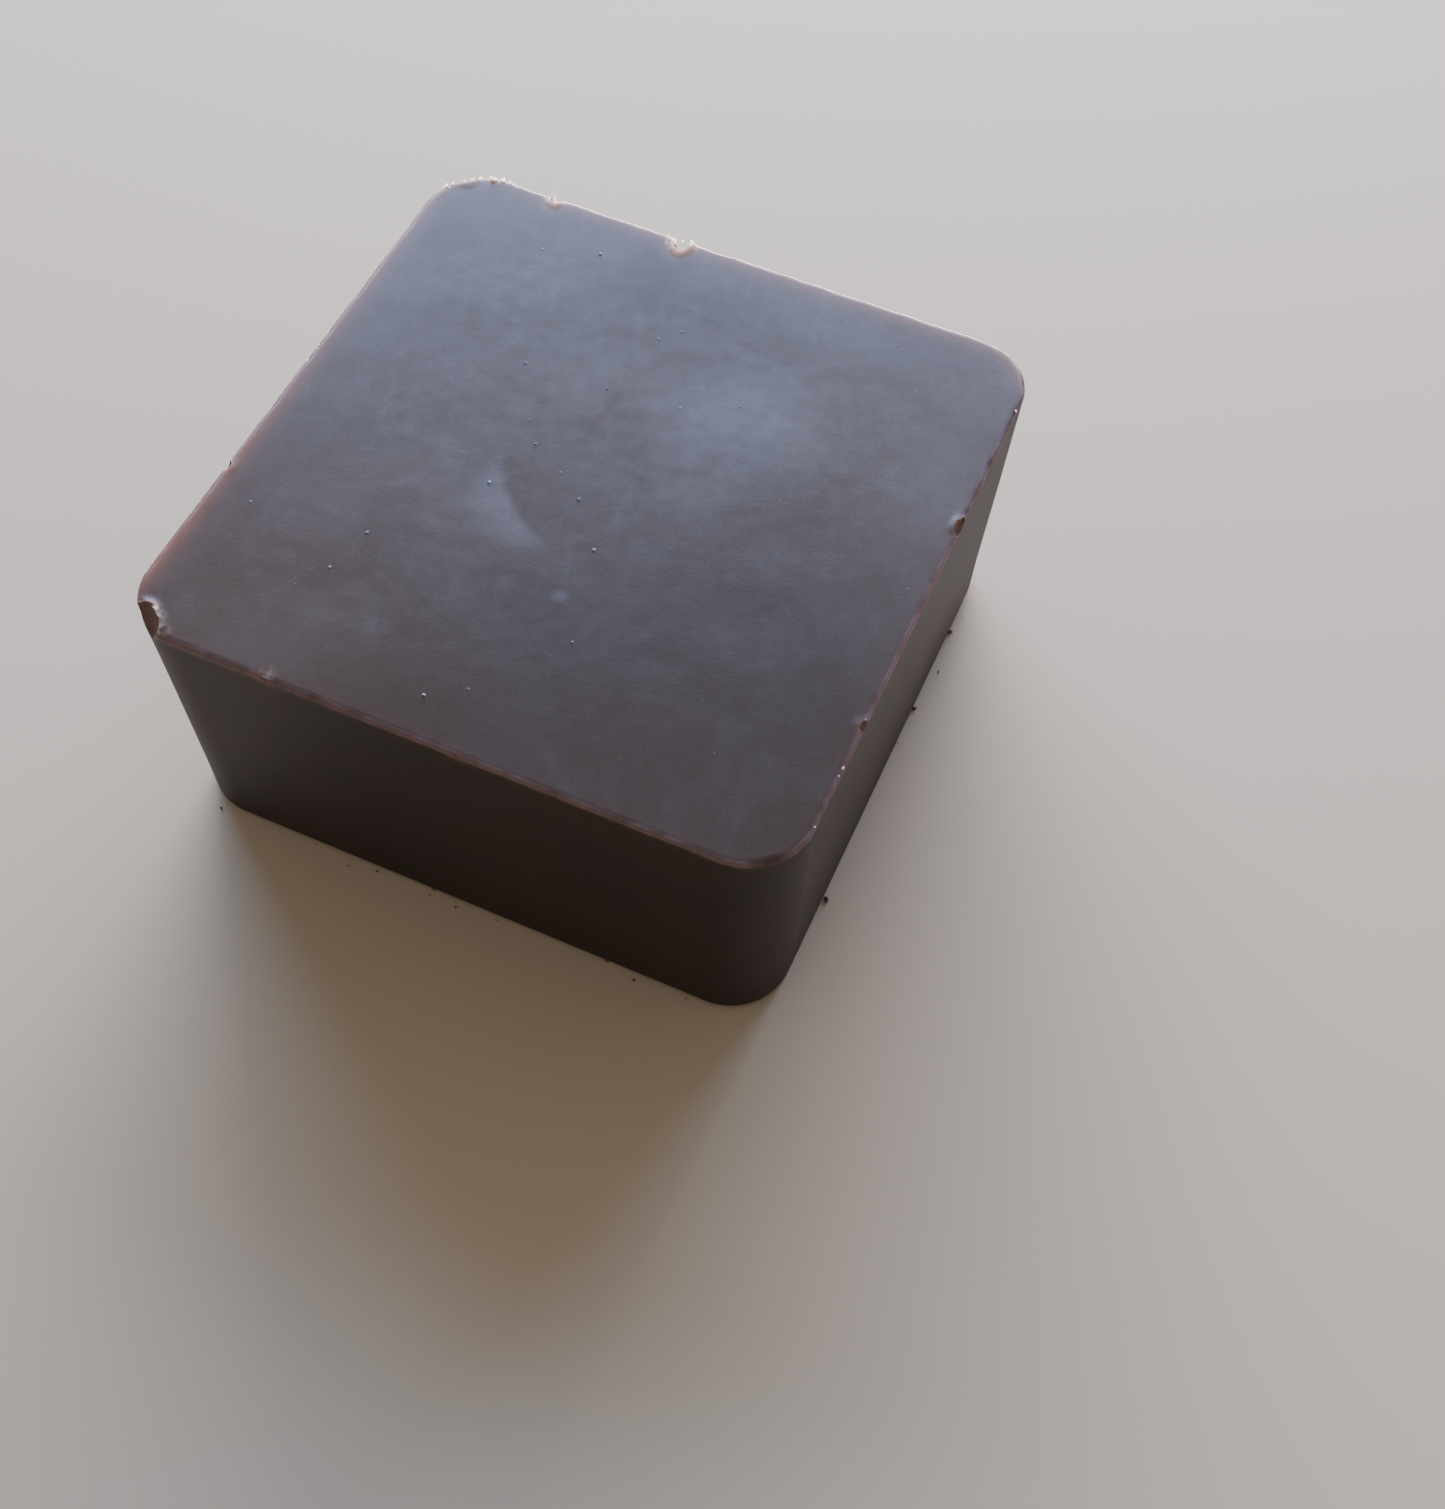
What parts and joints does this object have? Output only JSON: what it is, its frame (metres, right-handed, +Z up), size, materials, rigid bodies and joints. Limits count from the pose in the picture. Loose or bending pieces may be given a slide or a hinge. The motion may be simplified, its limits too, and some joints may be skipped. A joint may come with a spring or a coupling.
{
  "type": "moulded chocolate fudge square",
  "caption": "Thick square piece of dark chocolate fudge with rounded corners, slightly tapered sides and a thin chipped lip round its flat poured face.",
  "frame": {"origin": "middle of the base, on the surface that the piece lies on", "axes": "+Z up, from the smaller moulded face to the wide poured face; X and Y along the square's sides"},
  "size_m": [0.032, 0.032, 0.015],
  "materials": {
    "chocolate_fudge": null
  },
  "bodies": {
    "root": {"fudge": "chocolate_fudge"}
  },
  "joints": []
}
